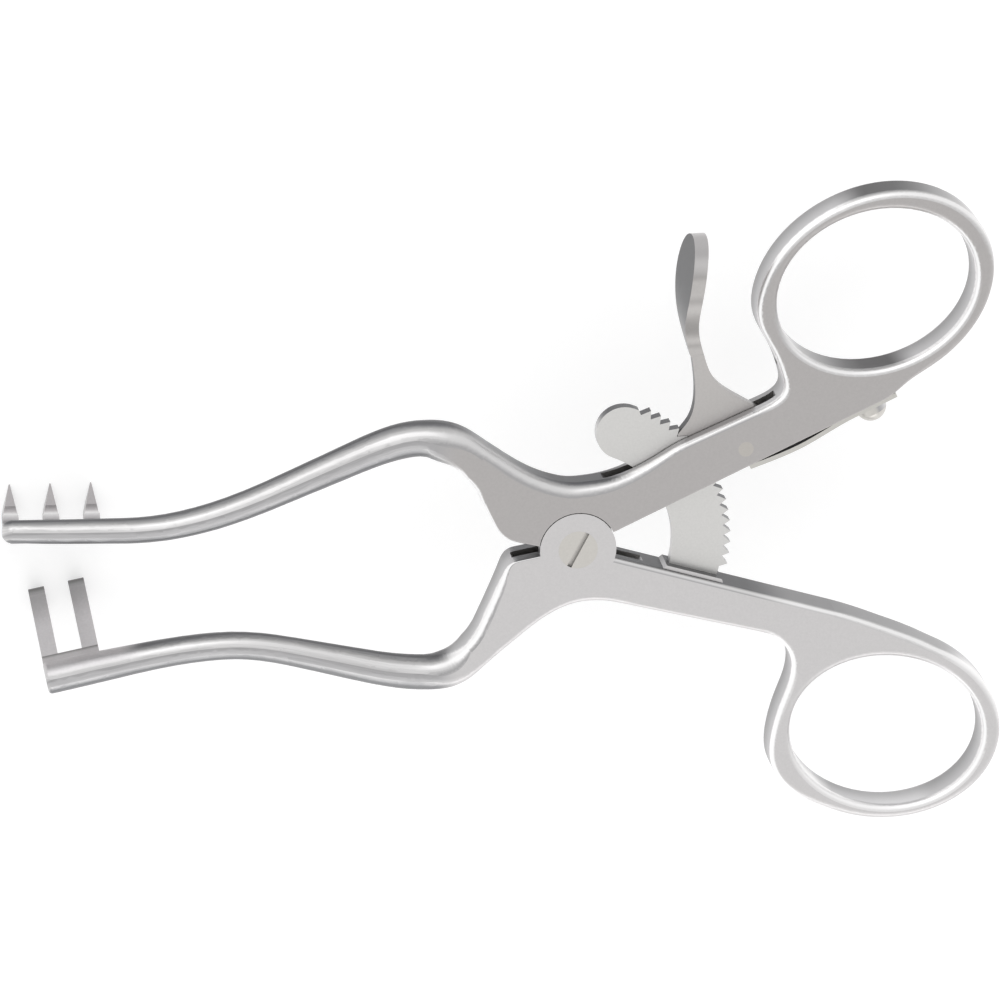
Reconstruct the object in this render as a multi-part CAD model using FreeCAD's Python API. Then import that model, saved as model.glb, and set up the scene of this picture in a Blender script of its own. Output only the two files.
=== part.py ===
import FreeCAD, Part
import math
import os

# A small finger ring self retaining retractor, satin stainless steel, in millimetres.
# The pivot axis is the Z axis. The arms lie in the XY plane, blades towards -X, rings towards +X,
# prongs towards -Z. Z = 0 is the flat back face of the box joint, and the arms' front faces look up.
# Angles are in degrees, counter-clockwise seen from above. All directions are those of the rest pose.

# Both arms
ARM_THICKNESS = 4.4
EDGE_ROUND = 0.55
CRISP_ROUND = 0.15
BROAD_ROUND = 1.35
RING_ROUND = 0.7
RING_ROUND_SHARE = 0.47
SIDE_ROUND = 0.95

# Box joint: the lower arm's two ears hold the upper arm's tongue between them
EAR_RADIUS = 4.1
EAR_CLEARANCE = 0.09
TONGUE_THICKNESS = 1.4
TONGUE_CLEARANCE = 0.06
BOX_SLOT_RADIUS = 10.6
BOX_SLOT_FLOOR = 4.35
BOX_SLOT_SHIFT = 0.8
PIVOT_RADIUS = 1.3
PIVOT_CLEARANCE = 0.04
PIVOT_HEAD_RADIUS = 2.1
PIVOT_HEAD_DEPTH = 0.8
PIVOT_SLOT_WIDTH = 0.5
PIVOT_SLOT_DEPTH = 0.45
PIVOT_SLOT_DEG = 62.0

# Finger rings: an oval hole in a slightly larger oval that is turned a little further out
HOLE_LONG = 10.75
HOLE_SHORT = 8.7
RING_LONG = 13.15
RING_SHORT = 10.55
UPPER_HOLE = (31.8, 27.3)
UPPER_HOLE_TILT = 15.0
UPPER_RING = (31.7, 27.05)
UPPER_RING_TILT = 25.0
LOWER_HOLE = (33.85, -23.3)
LOWER_HOLE_TILT = -13.5
LOWER_RING = (33.45, -22.98)
LOWER_RING_TILT = -12.2

# Straight edges of the shanks: direction, and distance from the pivot axis
UPPER_INNER_DEG = 24.6
UPPER_OUTER_DEG = 22.9
UPPER_OUTER_OFFSET = 5.95
LOWER_INNER_DEG = -17.9
LOWER_INNER_OFFSET = 0.1
LOWER_OUTER_DEG = -15.7
LOWER_OUTER_OFFSET = -5.03

# Necks between shank and ring, as places round the ring: an angle from its long axis, and how far
# out the place lies, where 1 is on the ring's oval. The shank's edge ends a run before the neck
UPPER_NECK = (-160.0, 1.025)
UPPER_NECK_SIDE = [(-173.0, 0.955), (170.0, 0.973)]
UPPER_NECK_RUN = 4.4
UPPER_RING_START = -72.0
UPPER_RING_END = 150.0
UPPER_SHOULDER = [(-87.0, 0.999), (-94.0, 1.02)]
LOWER_NECK = (149.0, 1.03)
LOWER_NECK_SIDE = [(170.0, 0.91), (-167.0, 0.94), (-147.0, 1.022), (-130.0, 1.045), (-112.0, 1.01)]
LOWER_NECK_RUN = 4.6
LOWER_RING_START = -96.0
LOWER_RING_END = 72.0
LOWER_SHOULDER = [(83.0, 1.025), (98.0, 1.104)]
SHOULDER_RUN = 3.2
NECK_RISE = 0.95

# Ratchet rack, concentric with the pivot
TOOTH_PITCH_DEG = 4.25
TOOTH_COUNT = 18
FIRST_TOOTH_DEG = -11.0
TOOTH_UNDERCUT_DEG = 1.5
RACK_INNER_RADIUS = 10.4
RACK_ROOT_RADIUS = 15.85
TOOTH_HEIGHT = 0.85
RACK_THICKNESS = 1.2
RACK_BACK_RADIUS = 16.25
RACK_CAP_DEG = 67.5
SEAT_HEIGHT = 0.4
SEAT_MARGIN = 0.4
TANG_DEPTH = 2.4
TANG_INSET = 0.6

# Slot through the upper arm for the rack and the lever, measured along the shank from the pivot
SLOT_WIDTH = 1.5
SLOT_TOP_START = 5.4
SLOT_TOP_END = 26.3
SLOT_BOTTOM_START = 9.4
SLOT_BOTTOM_END = 22.7

# Release lever
LEVER_THICKNESS = 1.2
LEVER_PIN_RADIUS = 0.82
LEVER_PIN_CLEARANCE = 0.04
LEVER_PIN = (17.96, 10.34)
RELEASE_DEG = 10.0
MESH_CLEARANCE = 0.06
PAWL_TIP_DEG = 47.3
PAWL_END_DEG = 41.0
PAWL_TOOTH = 13
TAIL_WIDTH = 1.9
TAIL_INSET = 0.1
LEVER_NECK_WIDTH = 1.3
LEVER_LEFT = [(12.75, 16.6), (12.1, 13.4), (11.1, 12.1)]
LEVER_FRONT = [(13.9, 10.2), (16.3, 9.4)]
LEVER_BACK = [(20.55, 11.2), (19.7, 14.25)]
LEVER_RIGHT = [(17.1, 15.85), (15.2, 17.3)]

# Thumb pad: the middle of its thickness seen from above, and at distances from its foot the share
# of the full half width
PAD_THICKNESS = 1.45
PAD_HALF_WIDTH = 4.4
PAD_LAP = 0.2
PAD_SPINE = [(13.0, 20.4), (12.4, 22.5), (12.02, 24.7), (12.05, 27.2), (12.35, 29.6),
             (12.75, 31.9), (13.2, 34.0)]
PAD_SHARES = [(2.0, 0.23), (4.0, 0.52), (6.2, 0.84), (8.6, 1.0), (10.9, 0.89), (12.6, 0.55)]
PAD_LENGTH = 13.3

# Leaf spring and its screw, measured along the upper arm's lower edge from the pivot
SPRING_THICKNESS = 0.5
SPRING_WIDTH = 3.5
SPRING_START = 20.2
SPRING_END = 37.5
SPRING_BOW = 0.45
SPRING_CLAMP = 2.0
TAIL_GAP = 0.06
SPRING_SCREW_AT = 34.6
SPRING_SCREW_RADIUS = 0.8
SPRING_SCREW_LENGTH = 2.2
SPRING_HEAD_RADIUS = 1.6
SPRING_HEAD_HEIGHT = 1.9
SPRING_HEAD_RIM = 0.75
SPRING_SCREW_SLOT = 0.45

# Blades: pronged plates that run back from the blade rods and hook outwards
PRONG_WIDTH = 1.72
PRONG_PITCH = 4.35
PRONG_THICKNESS = 1.1
PRONG_SLOT_DEPTH = 2.7
PRONG_LEAN_START = 2.8
PRONG_OFFSET = 0.85
HOOK_CENTRE_OFFSET = 2.35
HOOK_CENTRE_DEPTH = 12.7
HOOK_RADIUS = 2.1
POINT_OFFSET = 0.55
POINT_DEPTH = 15.35
POINT_HALF_WIDTH = 0.06
UPPER_PRONGS = 3
LOWER_PRONGS = 2

# Where the flat of each arm ends and its blade rod begins: the two edges of the arm there
UPPER_FLAT_OUTER = (-9.33, 11.75)
UPPER_FLAT_INNER = (-11.95, 8.73)
LOWER_FLAT_OUTER = (-9.9, -12.65)
LOWER_FLAT_INNER = (-12.1, -10.35)
FLAT_RUN_IN = 1.2

# Edges of the arms between the straight shanks and the flats: blade side and crotch
UPPER_BACK = [(-6.75, 9.85), (-4.15, 8.3), (-1.65, 7.4), (0.5, 7.2)]
UPPER_SADDLE = [(3.0, 7.45), (5.6, 8.2), (9.0, 9.95)]
UPPER_CROTCH = [(-2.9, 0.25), (-5.9, 1.07)]
UPPER_THROAT = [(-7.55, 1.7), (-8.6, 2.75), (-9.25, 3.95), (-10.47, 6.45)]
LOWER_BACK = [(-6.2, -9.55), (-4.25, -8.05), (-2.3, -6.9), (-0.4, -6.22), (2.1, -6.05)]
LOWER_CROTCH = [(-3.0, -0.3), (-6.3, -0.85)]
LOWER_CORNER = [(-7.35, -1.3), (-7.95, -2.2)]
LOWER_THROAT = (-10.6, -8.1)
STRAIGHT_START = 3.2
UPPER_STRAIGHT = 15.0
LOWER_STRAIGHT = 8.17

# Between flat and rod each arm's section is a rounded block: middle, heading, half width, half
# height, and the rounding on the left and on the right of the heading
UPPER_BLOCKS = [((-12.8, 11.92), 148, 1.96, 2.19, 0.75, 1.72),
                ((-14.85, 12.63), 166, 1.95, 2.12, 1.25, 1.92)]
LOWER_BLOCKS = [((-12.45, -12.75), 212, 1.72, 2.17, 0.9, 1.6),
                ((-14.2, -13.58), 196, 1.86, 2.08, 1.35, 1.83)]

# The blade rods from the bend to the end: places (x, y) on the centre line and the radius there
UPPER_ROD = [(-17.2, 12.75, 1.92), (-20.0, 12.22, 1.85), (-24.0, 10.75, 1.72), (-29.0, 8.73, 1.6),
             (-34.0, 6.75, 1.51), (-39.0, 5.2, 1.45), (-43.5, 4.4, 1.4), (-49.3, 4.33, 1.34),
             (-54.5, 4.57, 1.29), (-57.4, 4.74, 1.25), (-59.6, 4.88, 1.21)]
UPPER_END_ROUND = 1.0
UPPER_BAR_DEG = -1.8
UPPER_FIRST_PRONG = 1.75
LOWER_ROD = [(-16.4, -13.82, 1.9), (-19.1, -13.5, 1.85), (-24.0, -12.33, 1.72), (-29.4, -10.85, 1.56),
             (-32.8, -10.0, 1.5), (-36.2, -9.5, 1.48), (-39.6, -9.48, 1.49), (-43.0, -9.75, 1.51),
             (-46.4, -10.22, 1.56), (-49.8, -10.77, 1.64), (-53.2, -11.36, 1.69), (-56.2, -11.89, 1.7)]
LOWER_END_ROUND = 0.4
LOWER_BAR_DEG = 9.9
LOWER_FIRST_PRONG = 0.9

MID = ARM_THICKNESS / 2


def at(point, z=0.0):
    return FreeCAD.Vector(point[0], point[1], z)


def polar(radius, deg, centre=(0.0, 0.0)):
    angle = math.radians(deg)
    return (centre[0] + radius * math.cos(angle), centre[1] + radius * math.sin(angle))


def beside(deg, offset, along):
    """The point a distance along a straight edge, from the foot of the pivot axis on it."""
    angle = math.radians(deg)
    x = along * math.cos(angle) - offset * math.sin(angle)
    y = along * math.sin(angle) + offset * math.cos(angle)
    return (x, y)


def segment(start, end):
    return Part.makeLine(at(start), at(end))


def curve(points, start_deg=None, end_deg=None):
    """A smooth curve through points in the plane, with directions at both ends where given."""
    spline = Part.BSplineCurve()
    poles = [at(point) for point in points]
    if start_deg is None:
        spline.interpolate(Points=poles)
    else:
        spline.interpolate(
            Points=poles,
            InitialTangent=at(polar(1.0, start_deg)),
            FinalTangent=at(polar(1.0, end_deg)),
        )
    return spline.toShape()


def arc(radius, start_deg, end_deg, centre=(0.0, 0.0)):
    circle = Part.Circle(at(centre), FreeCAD.Vector(0, 0, 1), radius)
    return circle.toShape(math.radians(start_deg), math.radians(end_deg))


def oval(centre, long_radius, short_radius, tilt, start_deg=0.0, end_deg=360.0):
    long_end = polar(long_radius, tilt, centre)
    short_end = polar(short_radius, tilt + 90, centre)
    ellipse = Part.Ellipse(at(long_end), at(short_end), at(centre))
    return ellipse.toShape(math.radians(start_deg), math.radians(end_deg))


def prism(edges, low, high):
    """The solid over an outline, from one height to another."""
    wire = Part.Wire(Part.__sortEdges__(edges))
    face = Part.Face(wire)
    face.translate(FreeCAD.Vector(0, 0, low))
    return face.extrude(FreeCAD.Vector(0, 0, high - low))


def polygon(points, low, high):
    edges = [segment(a, b) for a, b in zip(points, points[1:] + points[:1])]
    return prism(edges, low, high)


def disc(radius, low, high, centre=(0.0, 0.0)):
    return Part.makeCylinder(radius, high - low, at(centre, low))


def round_section(centre, heading, radius, side_deg=14.0):
    """A round section of a rod, its edge split at the same eight places as a block's section."""
    corners = [side_deg, 90 - side_deg, 90 + side_deg, 180 - side_deg]
    stops = corners + [180 + angle for angle in corners]
    spots = [polar(radius, angle) for angle in stops]
    middles = [polar(radius, (a + b) / 2) for a, b in zip(stops, stops[1:] + [stops[0] + 360])]
    return section_wire(centre, heading, spots, middles)


def block_section(centre, heading, half_width, half_height, left_round, right_round):
    """A rounded block's section that stands square to the heading."""
    spots = []
    middles = []
    quarters = [(1, 1, left_round), (-1, 1, right_round), (-1, -1, right_round), (1, -1, left_round)]
    for across, up, radius in quarters:
        x = across * (half_width - radius)
        y = up * (half_height - radius)
        side = (x + across * radius, y)
        top = (x, y + up * radius)
        bend = radius * math.sqrt(0.5)
        spots += [side, top] if across == up else [top, side]
        middles += [(x + across * bend, y + up * bend), None]
    return section_wire(centre, heading, spots, middles)


def section_wire(centre, heading, spots, middles):
    """The closed wire through places (across, up) of a section. Across is left of the heading."""
    def placed(spot):
        return at(polar(spot[0], heading + 90, centre), MID + spot[1])

    edges = []
    for start, middle, end in zip(spots, middles, spots[1:] + spots[:1]):
        if middle is None:
            edges.append(Part.makeLine(placed(start), placed(end)))
        else:
            edges.append(Part.Arc(placed(start), placed(middle), placed(end)).toShape())
    return Part.Wire(edges)


def blade_rod(plate, first, second, blocks, stations):
    """The rod from the flat end of an arm's plate between two places, as one smooth solid.

    Its sections begin a little way inside the plate, so that it leaves the plate without a crease.
    The part inside the plate is cut off again.
    """
    along = FreeCAD.Vector(second[1] - first[1], first[0] - second[0], 0).normalize()
    if along.dot(at(stations[0]) - at(first)) < 0:
        along = -along
    inside = plate.slice(along, along.dot(at(first)) - FLAT_RUN_IN)[0]
    last = len(stations) - 1
    wires = [inside, flat_end(plate, first, second)]
    wires += [block_section(*block) for block in blocks]
    for i, (x, y, radius) in enumerate(stations):
        ahead = stations[min(i + 1, last)]
        behind = stations[max(i - 1, 0)]
        heading = math.degrees(math.atan2(ahead[1] - behind[1], ahead[0] - behind[0]))
        wires.append(round_section((x, y), heading, radius))
    rod = Part.makeLoft(wires, True, False)
    across = at(second) - at(first)
    corners = [at(first) - across, at(second) + across]
    corners += [corner - along * (2 * FLAT_RUN_IN) for corner in reversed(corners)]
    return rod.cut(polygon([(corner.x, corner.y) for corner in corners], -1, ARM_THICKNESS + 1))


def last_heading(stations):
    """The direction in which a blade rod ends."""
    (x0, y0, _), (x1, y1, _) = stations[-2:]
    return math.degrees(math.atan2(y1 - y0, x1 - x0))


def far_end(stations, end_round):
    """The middle of a blade rod's end face."""
    return polar(end_round, last_heading(stations), stations[-1][:2])


def rod_end(stations, end_round):
    """The rounded end of a blade rod, as long as its rounding."""
    x, y, radius = stations[-1]
    direction = at(polar(1.0, last_heading(stations)))
    end = Part.makeCylinder(radius, end_round, at((x, y), MID), direction)
    tip = at(far_end(stations, end_round), MID)
    rim = [edge for edge in end.Edges if edge.CenterOfMass.distanceToPoint(tip) < 1e-6]
    return end.makeFillet(0.98 * end_round, rim)


def on_ring(ring, tilt, place):
    """A place round a finger ring's oval, given as an angle and how far out it lies."""
    angle = math.radians(place[0])
    long_part = RING_LONG * place[1] * math.cos(angle)
    short_part = RING_SHORT * place[1] * math.sin(angle)
    return polar(short_part, tilt + 90, polar(long_part, tilt, ring))


def ring_rounding(ring, tilt, hole):
    """The rounding of a ring's rims, at most a share of the ring's thinnest wall."""
    wall = oval(ring, RING_LONG, RING_SHORT, tilt).distToShape(hole)[0]
    return min(RING_ROUND, RING_ROUND_SHARE * wall)


def along_edge(deg, point):
    """How far along a straight edge's direction a point lies from the pivot axis."""
    angle = math.radians(deg)
    return point[0] * math.cos(angle) + point[1] * math.sin(angle)


def upper_outline():
    """The upper arm seen from above, and the places where its rim has a rounding of its own."""
    neck, *neck_side = [on_ring(UPPER_RING, UPPER_RING_TILT, place)
                        for place in [UPPER_NECK] + UPPER_NECK_SIDE]
    shoulder = [on_ring(UPPER_RING, UPPER_RING_TILT, place) for place in UPPER_SHOULDER]
    neck_along = along_edge(UPPER_OUTER_DEG, neck)
    neck_start = beside(UPPER_OUTER_DEG, UPPER_OUTER_OFFSET, neck_along - UPPER_NECK_RUN)
    neck_bend = beside(UPPER_OUTER_DEG, UPPER_OUTER_OFFSET + NECK_RISE, neck_along - 0.4)
    shank_outer = beside(UPPER_OUTER_DEG, UPPER_OUTER_OFFSET, UPPER_STRAIGHT)
    ring = oval(UPPER_RING, RING_LONG, RING_SHORT, UPPER_RING_TILT, UPPER_RING_START, UPPER_RING_END)
    right_end, left_end = [vertex.Point for vertex in ring.Vertexes]
    inner_end = along_edge(UPPER_INNER_DEG, shoulder[-1]) - SHOULDER_RUN
    shank_inner = beside(UPPER_INNER_DEG, 0.0, inner_end)
    inner_start = beside(UPPER_INNER_DEG, 0.0, STRAIGHT_START)
    edges = [
        curve([UPPER_FLAT_OUTER] + UPPER_BACK, -36, 3),
        curve([UPPER_BACK[-1]] + UPPER_SADDLE + [shank_outer], 3, UPPER_OUTER_DEG),
        segment(shank_outer, neck_start),
        curve([neck_start, neck_bend, neck], UPPER_OUTER_DEG, 107),
        curve([neck] + neck_side + [left_end], 107, tangent_deg(ring, 1) + 180),
        ring,
        curve([right_end] + shoulder + [shank_inner], tangent_deg(ring, 0) + 180,
              UPPER_INNER_DEG + 180),
        segment(shank_inner, inner_start),
        segment(inner_start, UPPER_CROTCH[0]),
        segment(UPPER_CROTCH[0], UPPER_CROTCH[1]),
        curve([UPPER_CROTCH[1]] + UPPER_THROAT + [UPPER_FLAT_INNER], 165, 133),
        segment(UPPER_FLAT_INNER, UPPER_FLAT_OUTER),
    ]
    rims = [(place, BROAD_ROUND) for place in (UPPER_FLAT_OUTER, UPPER_BACK[-1])]
    hole = oval(UPPER_HOLE, HOLE_LONG, HOLE_SHORT, UPPER_HOLE_TILT)
    ring_round = ring_rounding(UPPER_RING, UPPER_RING_TILT, hole)
    rims += [(place, ring_round) for place in (neck, left_end, right_end)]
    rims.append((hole.Vertexes[0].Point, ring_round))
    rims += [(place, CRISP_ROUND) for place in (shank_inner, inner_start, *UPPER_CROTCH)]
    return edges, hole, rims


def lower_outline():
    """The lower arm seen from above, and the places where its rim has a rounding of its own."""
    neck, *neck_side = [on_ring(LOWER_RING, LOWER_RING_TILT, place)
                        for place in [LOWER_NECK] + LOWER_NECK_SIDE]
    shoulder = [on_ring(LOWER_RING, LOWER_RING_TILT, place) for place in LOWER_SHOULDER]
    neck_along = along_edge(LOWER_OUTER_DEG, neck)
    neck_start = beside(LOWER_OUTER_DEG, LOWER_OUTER_OFFSET, neck_along - LOWER_NECK_RUN)
    neck_bend = beside(LOWER_OUTER_DEG, LOWER_OUTER_OFFSET - NECK_RISE, neck_along - 1.5)
    shank_outer = beside(LOWER_OUTER_DEG, LOWER_OUTER_OFFSET, LOWER_STRAIGHT)
    ring = oval(LOWER_RING, RING_LONG, RING_SHORT, LOWER_RING_TILT, LOWER_RING_START, LOWER_RING_END)
    left_end, right_end = [vertex.Point for vertex in ring.Vertexes]
    inner_end = along_edge(LOWER_INNER_DEG, shoulder[-1]) - 2 * SHOULDER_RUN
    shank_inner = beside(LOWER_INNER_DEG, LOWER_INNER_OFFSET, inner_end)
    inner_start = beside(LOWER_INNER_DEG, LOWER_INNER_OFFSET, STRAIGHT_START)
    edges = [
        curve([LOWER_FLAT_OUTER] + LOWER_BACK + [shank_outer], 42, LOWER_OUTER_DEG),
        segment(shank_outer, neck_start),
        curve([neck_start, neck_bend, neck], LOWER_OUTER_DEG, 268),
        curve([neck] + neck_side + [left_end], 268, tangent_deg(ring, 0)),
        ring,
        curve([right_end] + shoulder + [shank_inner], tangent_deg(ring, 1), LOWER_INNER_DEG + 180),
        segment(shank_inner, inner_start),
        segment(inner_start, LOWER_CROTCH[0]),
        segment(LOWER_CROTCH[0], LOWER_CROTCH[1]),
        curve([LOWER_CROTCH[1]] + LOWER_CORNER, 188, 247),
        segment(LOWER_CORNER[-1], LOWER_THROAT),
        curve([LOWER_THROAT, LOWER_FLAT_INNER], 246, 225),
        segment(LOWER_FLAT_INNER, LOWER_FLAT_OUTER),
    ]
    hole = oval(LOWER_HOLE, HOLE_LONG, HOLE_SHORT, LOWER_HOLE_TILT)
    ring_round = ring_rounding(LOWER_RING, LOWER_RING_TILT, hole)
    rims = [(place, ring_round) for place in (neck, left_end, right_end)]
    rims.append((hole.Vertexes[0].Point, ring_round))
    rims += [(place, CRISP_ROUND) for place in LOWER_CROTCH]
    rims += [(place, SIDE_ROUND) for place in (LOWER_THROAT, LOWER_FLAT_INNER)]
    return edges, hole, rims


def tangent_deg(edge, end):
    """The heading of an edge at its start (0) or its end (1), along its own direction."""
    place = edge.LastParameter if end else edge.FirstParameter
    heading = edge.tangentAt(place)
    return math.degrees(math.atan2(heading.y, heading.x))


def rounded(plate, rims, flat_places):
    """The plate with its rims rounded. rims gives the rounding at places of the outline."""
    document = FreeCAD.newDocument("rounding")
    base = document.addObject("Part::Feature", "plate")
    base.Shape = plate
    rounding = document.addObject("Part::Fillet", "rounding")
    rounding.Base = base
    choices = []
    for number, edge in enumerate(plate.Edges, 1):
        if edge.BoundBox.ZLength < 1e-6 and not joins(edge, *flat_places):
            start = rim_round(edge.valueAt(edge.FirstParameter), rims)
            end = rim_round(edge.valueAt(edge.LastParameter), rims)
            choices.append((number, start, end))
    rounding.Edges = choices
    document.recompute()
    result = rounding.Shape.copy()
    FreeCAD.closeDocument(document.Name)
    return result


def rim_round(point, rims):
    for place, radius in rims:
        if point.distanceToPoint(at(place, point.z)) < 1e-6:
            return radius
    return EDGE_ROUND


def joins(edge, first, second):
    """True for the straight edge between two places."""
    ends = [vertex.Point for vertex in edge.Vertexes]
    spots = [at(first, ends[0].z), at(second, ends[0].z)]
    return all(min(end.distanceToPoint(spot) for end in ends) < 1e-6 for spot in spots)


def blade(bar_start, heading, prongs, first_prong, inward):
    """Prongs on a bar. Their profile leans inward going back, then hooks outwards to a point.

    bar_start is the far end of the bar's centre line, and first_prong is how far from it the
    first prong's middle lies along the heading. inward is +1 where inward is left of the
    heading, else -1.
    """
    length = prongs * PRONG_PITCH - (PRONG_PITCH - PRONG_WIDTH)
    profile = prong_profile()
    plate = profile.extrude(FreeCAD.Vector(length, 0, 0))
    for i in range(prongs - 1):
        gap_start = PRONG_WIDTH + i * PRONG_PITCH
        gap = Part.makeBox(PRONG_PITCH - PRONG_WIDTH, 20, 20)
        gap.translate(FreeCAD.Vector(gap_start, -10, -PRONG_SLOT_DEPTH - 20))
        plate = plate.cut(gap)
    for i in range(prongs):
        plate = plate.cut(point_cutters(i * PRONG_PITCH))
    if inward < 0:
        plate = plate.mirror(FreeCAD.Vector(0, 0, 0), FreeCAD.Vector(0, 1, 0))
    plate.translate(FreeCAD.Vector(first_prong - PRONG_WIDTH / 2, 0, MID))
    plate.rotate(FreeCAD.Vector(0, 0, 0), FreeCAD.Vector(0, 0, 1), heading)
    plate.translate(at(bar_start))
    return plate


def prong_profile():
    """The prongs' profile as a face in the YZ plane: Y is inwards, Z is up."""
    half = PRONG_THICKNESS / 2
    away = HOOK_CENTRE_OFFSET - PRONG_OFFSET
    drop = HOOK_CENTRE_DEPTH - PRONG_LEAN_START
    reach = math.hypot(away, drop)
    lean = math.degrees(math.atan2(away, drop) + math.asin(HOOK_RADIUS / reach))
    centre = (HOOK_CENTRE_OFFSET, -HOOK_CENTRE_DEPTH)
    inner_end = polar(HOOK_RADIUS - half, -80, centre)
    outer_end = polar(HOOK_RADIUS + half, -95, centre)
    inner_arc = hook_arc(HOOK_RADIUS - half, lean, -80, centre)
    outer_arc = hook_arc(HOOK_RADIUS + half, lean, -95, centre)
    bend = half * math.tan(math.radians(lean / 2))
    back = (PRONG_OFFSET - half, -PRONG_LEAN_START - bend)
    front = (PRONG_OFFSET + half, -PRONG_LEAN_START + bend)
    point = (POINT_OFFSET, -POINT_DEPTH)
    outline = [
        side_line((PRONG_OFFSET + half, 0.0), front),
        side_line(front, polar(HOOK_RADIUS + half, lean, centre)),
        outer_arc,
        side_line(outer_end, point),
        side_line(point, inner_end),
        inner_arc,
        side_line(polar(HOOK_RADIUS - half, lean, centre), back),
        side_line(back, (PRONG_OFFSET - half, 0.0)),
        side_line((PRONG_OFFSET - half, 0.0), (PRONG_OFFSET + half, 0.0)),
    ]
    return Part.Face(Part.Wire(Part.__sortEdges__(outline)))


def side_point(point):
    return FreeCAD.Vector(0, point[0], point[1])


def side_line(start, end):
    return Part.makeLine(side_point(start), side_point(end))


def hook_arc(radius, start_deg, end_deg, centre):
    spots = [polar(radius, a, centre) for a in (start_deg, (start_deg + end_deg) / 2, end_deg)]
    return Part.Arc(*[side_point(spot) for spot in spots]).toShape()


def point_cutters(start):
    """What is cut from both sides of a prong to bring its hook to a point."""
    middle = start + PRONG_WIDTH / 2
    wide = HOOK_CENTRE_OFFSET + HOOK_RADIUS - PRONG_THICKNESS / 2
    low = -POINT_DEPTH - 1
    high = -HOOK_CENTRE_DEPTH - PRONG_THICKNESS
    sides = []
    for sign in (-1, 1):
        edge = middle + sign * PRONG_WIDTH / 2
        tip = middle + sign * POINT_HALF_WIDTH
        outline = [
            (edge + sign, wide),
            (edge, wide),
            (tip, POINT_OFFSET),
            (tip, POINT_OFFSET - 1),
            (edge + sign, POINT_OFFSET - 1),
        ]
        sides.append(polygon(outline, low, high))
    return sides[0].fuse(sides[1])


def box_slot():
    centre = (BOX_SLOT_SHIFT, BOX_SLOT_RADIUS - BOX_SLOT_FLOOR)
    half = TONGUE_THICKNESS / 2 + TONGUE_CLEARANCE
    return disc(BOX_SLOT_RADIUS, MID - half, MID + half, centre)


def make_upper_arm():
    outline, hole, rims = upper_outline()
    plate = prism(outline, 0, ARM_THICKNESS).cut(prism([hole], 0, ARM_THICKNESS))
    arm = rounded(plate, rims, (UPPER_FLAT_INNER, UPPER_FLAT_OUTER))
    rod = blade_rod(arm, UPPER_FLAT_INNER, UPPER_FLAT_OUTER, UPPER_BLOCKS, UPPER_ROD)
    arm = arm.fuse(rod)
    arm = arm.fuse(rod_end(UPPER_ROD, UPPER_END_ROUND))
    far = far_end(UPPER_ROD, UPPER_END_ROUND)
    arm = arm.fuse(blade(far, UPPER_BAR_DEG, UPPER_PRONGS, UPPER_FIRST_PRONG, -1))
    tongue = TONGUE_THICKNESS / 2
    recess = EAR_RADIUS + EAR_CLEARANCE
    arm = arm.cut(disc(recess, -1, MID - tongue))
    arm = arm.cut(disc(recess, MID + tongue, ARM_THICKNESS + 1))
    arm = arm.fuse(disc(EAR_RADIUS - 2 * EAR_CLEARANCE, MID - tongue, MID + tongue))
    arm = arm.cut(disc(PIVOT_RADIUS + PIVOT_CLEARANCE, -1, ARM_THICKNESS + 1))
    arm = arm.cut(ratchet_slot())
    arm = arm.cut(disc(LEVER_PIN_RADIUS, -1, ARM_THICKNESS + 1, LEVER_PIN))
    return arm.cut(spring_screw_shank())


def make_lower_arm():
    outline, hole, rims = lower_outline()
    plate = prism(outline, 0, ARM_THICKNESS).cut(prism([hole], 0, ARM_THICKNESS))
    arm = rounded(plate, rims, (LOWER_FLAT_INNER, LOWER_FLAT_OUTER))
    rod = blade_rod(arm, LOWER_FLAT_INNER, LOWER_FLAT_OUTER, LOWER_BLOCKS, LOWER_ROD)
    arm = arm.fuse(rod)
    arm = arm.fuse(rod_end(LOWER_ROD, LOWER_END_ROUND))
    far = far_end(LOWER_ROD, LOWER_END_ROUND)
    arm = arm.fuse(blade(far, LOWER_BAR_DEG, LOWER_PRONGS, LOWER_FIRST_PRONG, 1))
    arm = arm.fuse(disc(EAR_RADIUS, 0, ARM_THICKNESS))
    arm = arm.cut(box_slot())
    arm = arm.fuse(rack_seat())
    arm = arm.cut(rack_tang())
    arm = arm.cut(disc(PIVOT_RADIUS, -1, ARM_THICKNESS + 1))
    return arm.cut(disc(PIVOT_HEAD_RADIUS, ARM_THICKNESS - PIVOT_HEAD_DEPTH, ARM_THICKNESS + 1))


def flat_end(plate, first, second):
    """The edge loop of the plate's flat end between two places."""
    middle = Part.Vertex(at(((first[0] + second[0]) / 2, (first[1] + second[1]) / 2), MID))
    nearest = min(plate.Faces, key=lambda face: face.distToShape(middle)[0])
    return nearest.OuterWire


def ratchet_slot():
    """The slot through the upper arm's edge, with slanting ends, for the rack and the lever."""
    top = UPPER_OUTER_OFFSET
    beyond = 3.0
    start_slope = (SLOT_BOTTOM_START - SLOT_TOP_START) / top
    end_slope = (SLOT_TOP_END - SLOT_BOTTOM_END) / top
    corners = [
        (SLOT_TOP_START - start_slope * beyond, top + beyond),
        (SLOT_BOTTOM_START + start_slope * beyond, -beyond),
        (SLOT_BOTTOM_END - end_slope * beyond, -beyond),
        (SLOT_TOP_END + end_slope * beyond, top + beyond),
    ]
    points = [beside(UPPER_INNER_DEG, offset, along) for along, offset in corners]
    return polygon(points, MID - SLOT_WIDTH / 2, MID + SLOT_WIDTH / 2)


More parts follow.
